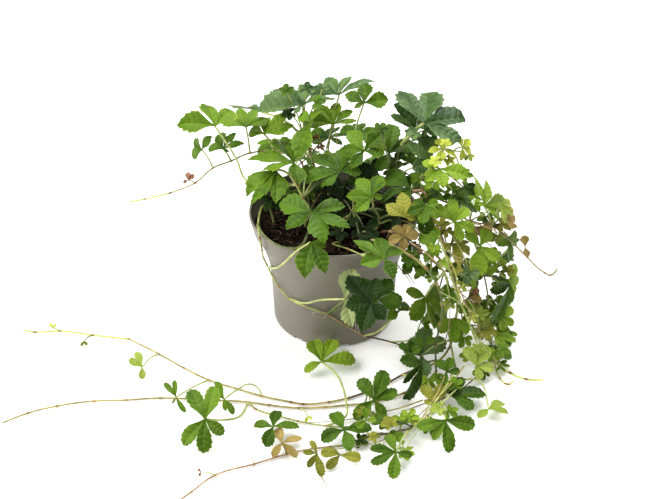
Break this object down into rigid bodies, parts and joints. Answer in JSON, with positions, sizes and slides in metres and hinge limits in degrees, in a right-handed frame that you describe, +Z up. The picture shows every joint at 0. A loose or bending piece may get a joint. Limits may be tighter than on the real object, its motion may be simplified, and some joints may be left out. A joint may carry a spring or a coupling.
{
  "type": "potted miniature grape ivy",
  "caption": "Small plastic nursery pot of soil with a trailing vine: palmate leaves stand in a low crown and leafy stems spill over the rim and run out along the surface.",
  "frame": {"origin": "middle of the flat pad under the pot, on the surface that the pot stands on", "axes": "+Z up, +X along the longest reach of the plant, to the right in the reference picture, +Y to its back"},
  "size_m": [0.3892, 0.2847, 0.1682],
  "materials": {
    "pot_plastic": "satin taupe grey",
    "peat_soil": "rough dark brown",
    "foliage": "slightly waxy green",
    "young_foliage": "soft yellow green"
  },
  "bodies": {
    "root": {"pot": "pot_plastic", "soil": "peat_soil", "left_runner": "foliage", "rear_left_shoot": "foliage", "rear_shoot": "foliage", "rear_right_shoot": "foliage", "right_crown": "foliage", "bright_shoot": "young_foliage", "right_runner": "young_foliage", "right_cascade": "foliage", "dark_cascade": "foliage", "inner_cascade": "foliage", "light_shoot": "young_foliage", "rim_shoot": "foliage", "front_shoot": "foliage", "shade_shoot": "foliage", "front_left_shoot": "foliage", "loop_stem": "foliage", "far_runner": "foliage", "near_runner": "foliage", "back_left_shoot": "foliage", "back_right_shoot": "foliage"}
  },
  "joints": []
}
